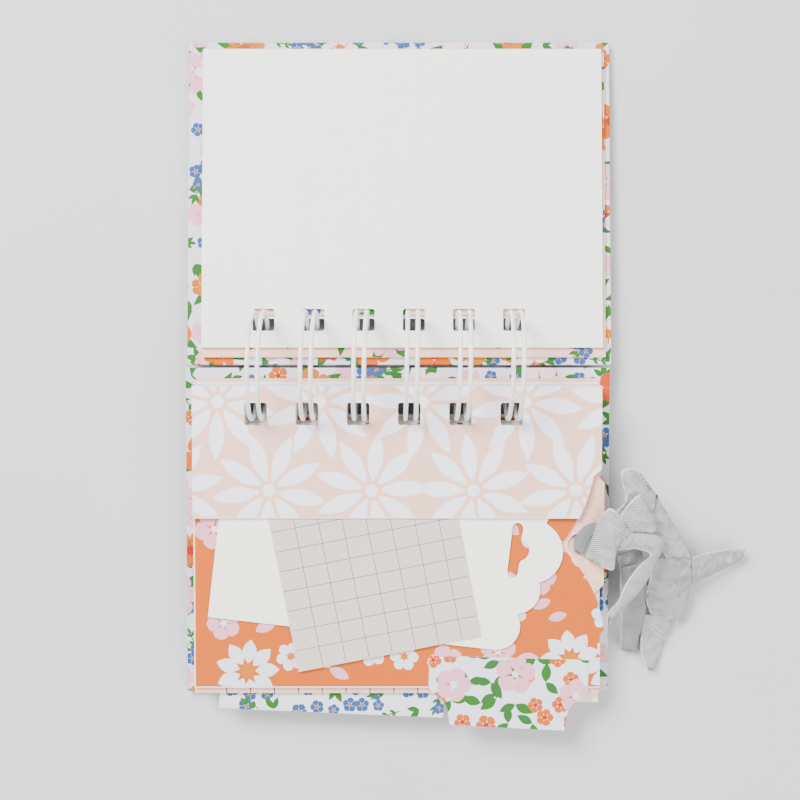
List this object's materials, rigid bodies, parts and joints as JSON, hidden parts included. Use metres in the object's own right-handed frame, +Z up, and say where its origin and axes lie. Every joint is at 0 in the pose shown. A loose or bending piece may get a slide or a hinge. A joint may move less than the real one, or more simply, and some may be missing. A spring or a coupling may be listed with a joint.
{
  "type": "scrapbook album",
  "caption": "Small wire-bound scrapbook album lying open, with wrapped board covers, pocket pages, pull-out tags and a ribbon.",
  "frame": {"origin": "middle of the bounding box, on the table that the open album lies on", "axes": "+X along the binding towards the ribbon, +Y away from the binding towards the front cover, +Z up"},
  "size_m": [0.144, 0.1748, 0.0277],
  "materials": {
    "white_wire": "satin white coating",
    "chipboard": "matt",
    "floral_paper": "matt printed",
    "liner_paper": "matt",
    "white_card": "matt, smooth",
    "pink_paper": "matt printed",
    "tape": "satin",
    "printed_paper": "matt printed",
    "grid_paper": "matt printed with thin rules",
    "orange_paper": "matt printed",
    "daisy_paper": "matt printed",
    "tab_paper": "matt printed",
    "cream_card": "matt, smooth",
    "ledger_paper": "matt printed with thin rules",
    "speckled_card": "matt, speckled",
    "ribbon": "sheer metallic weave"
  },
  "bodies": {
    "wire_binding": {"twin_loop_wire": "white_wire"},
    "front_cover": {"front_cover_board": "chipboard", "front_cover_wrap": "floral_paper", "front_cover_liner": "liner_paper"},
    "leaf_1": {"leaf_1_card": "white_card", "leaf_1_paper": "pink_paper"},
    "leaf_2": {"leaf_2_card": "white_card", "leaf_2_paper": "pink_paper"},
    "back_cover": {"back_cover_board": "chipboard", "back_cover_wrap": "floral_paper", "back_cover_liner": "liner_paper"},
    "leaf_7": {"leaf_7_card": "white_card", "leaf_7_tape": "tape", "leaf_7_paper": "printed_paper"},
    "leaf_6": {"leaf_6_card": "white_card", "leaf_6_mat": "pink_paper", "leaf_6_belly_band": "printed_paper"},
    "leaf_5": {"leaf_5_card": "white_card", "leaf_5_tape": "tape", "leaf_5_paper": "printed_paper"},
    "leaf_4": {"leaf_4_card": "white_card", "leaf_4_tape": "tape", "leaf_4_paper": "printed_paper"},
    "leaf_3": {"leaf_3_grid_card": "grid_paper", "leaf_3_tape": "tape", "leaf_3_orange_paper": "orange_paper", "leaf_3_band_tape": "tape", "leaf_3_daisy_band": "daisy_paper", "leaf_3_floral_tab": "tab_paper"},
    "insert_7": {"leaf_7_insert": "cream_card"},
    "insert_6": {"leaf_6_journal_card": "white_card"},
    "insert_5": {"cream_insert": "cream_card"},
    "insert_4": {"blue_flower_insert": "printed_paper"},
    "scallop_tag_body": {"scallop_tag": "cream_card"},
    "ledger_card_body": {"ledger_card": "ledger_paper"},
    "ribbon_tag": {"pink_tag": "speckled_card", "ribbon_wrap": "ribbon", "ribbon_knot": "ribbon", "ribbon_upper_loop": "ribbon", "ribbon_fold": "ribbon", "ribbon_left_tail": "ribbon", "ribbon_panel": "ribbon", "ribbon_lower_tail": "ribbon", "ribbon_outer_tail": "ribbon", "ribbon_right_tail": "ribbon"}
  },
  "joints": [
    {"name": "front_cover_turn", "type": "hinge", "parent": "wire_binding", "child": "front_cover", "pos_m": [0, 0.00411, 0.01389], "axis": [1, 0, 0], "range_deg": [0, 184.65]},
    {"name": "leaf_1_turn", "type": "hinge", "parent": "front_cover", "child": "leaf_1", "pos_m": [0, 0.00411, 0.01389], "axis": [-1, 0, 0], "range_deg": [-180, 0]},
    {"name": "leaf_2_turn", "type": "hinge", "parent": "leaf_1", "child": "leaf_2", "pos_m": [0, 0.00411, 0.01389], "axis": [-1, 0, 0], "range_deg": [-180, 0]},
    {"name": "back_cover_turn", "type": "hinge", "parent": "wire_binding", "child": "back_cover", "pos_m": [0, 0.00411, 0.01389], "axis": [-1, 0, 0], "range_deg": [0, 184.65]},
    {"name": "leaf_7_turn", "type": "hinge", "parent": "back_cover", "child": "leaf_7", "pos_m": [0, 0.00411, 0.01389], "axis": [1, 0, 0], "range_deg": [-180, 0]},
    {"name": "leaf_6_turn", "type": "hinge", "parent": "leaf_7", "child": "leaf_6", "pos_m": [0, 0.00411, 0.01389], "axis": [1, 0, 0], "range_deg": [-180, 0]},
    {"name": "leaf_5_turn", "type": "hinge", "parent": "leaf_6", "child": "leaf_5", "pos_m": [0, 0.00411, 0.01389], "axis": [1, 0, 0], "range_deg": [-180, 0]},
    {"name": "leaf_4_turn", "type": "hinge", "parent": "leaf_5", "child": "leaf_4", "pos_m": [0, 0.00411, 0.01389], "axis": [1, 0, 0], "range_deg": [-180, 0]},
    {"name": "leaf_3_turn", "type": "hinge", "parent": "leaf_4", "child": "leaf_3", "pos_m": [0, 0.00411, 0.01389], "axis": [1, 0, 0], "range_deg": [-180, 0]},
    {"name": "insert_7_pull", "type": "slide", "parent": "leaf_7", "child": "insert_7", "axis": [0, -0.9992, -0.0406], "range_m": [0, 0.05]},
    {"name": "insert_6_pull", "type": "slide", "parent": "leaf_6", "child": "insert_6", "axis": [0, -0.9992, -0.0406], "range_m": [0, 0.028]},
    {"name": "insert_5_pull", "type": "slide", "parent": "leaf_5", "child": "insert_5", "axis": [0, -0.9992, -0.0406], "range_m": [0, 0.05]},
    {"name": "insert_4_pull", "type": "slide", "parent": "leaf_4", "child": "insert_4", "axis": [0, -0.9992, -0.0406], "range_m": [0, 0.05]},
    {"name": "scallop_tag_pull", "type": "slide", "parent": "leaf_3", "child": "scallop_tag_body", "axis": [0, -0.9992, -0.0406], "range_m": [0, 0.02]},
    {"name": "ledger_card_pull", "type": "slide", "parent": "leaf_3", "child": "ledger_card_body", "axis": [0, -0.9992, -0.0406], "range_m": [0, 0.018]},
    {"name": "ribbon_tag_pull", "type": "slide", "parent": "leaf_3", "child": "ribbon_tag", "axis": [1, 0, 0], "range_m": [0, 0.05]}
  ]
}
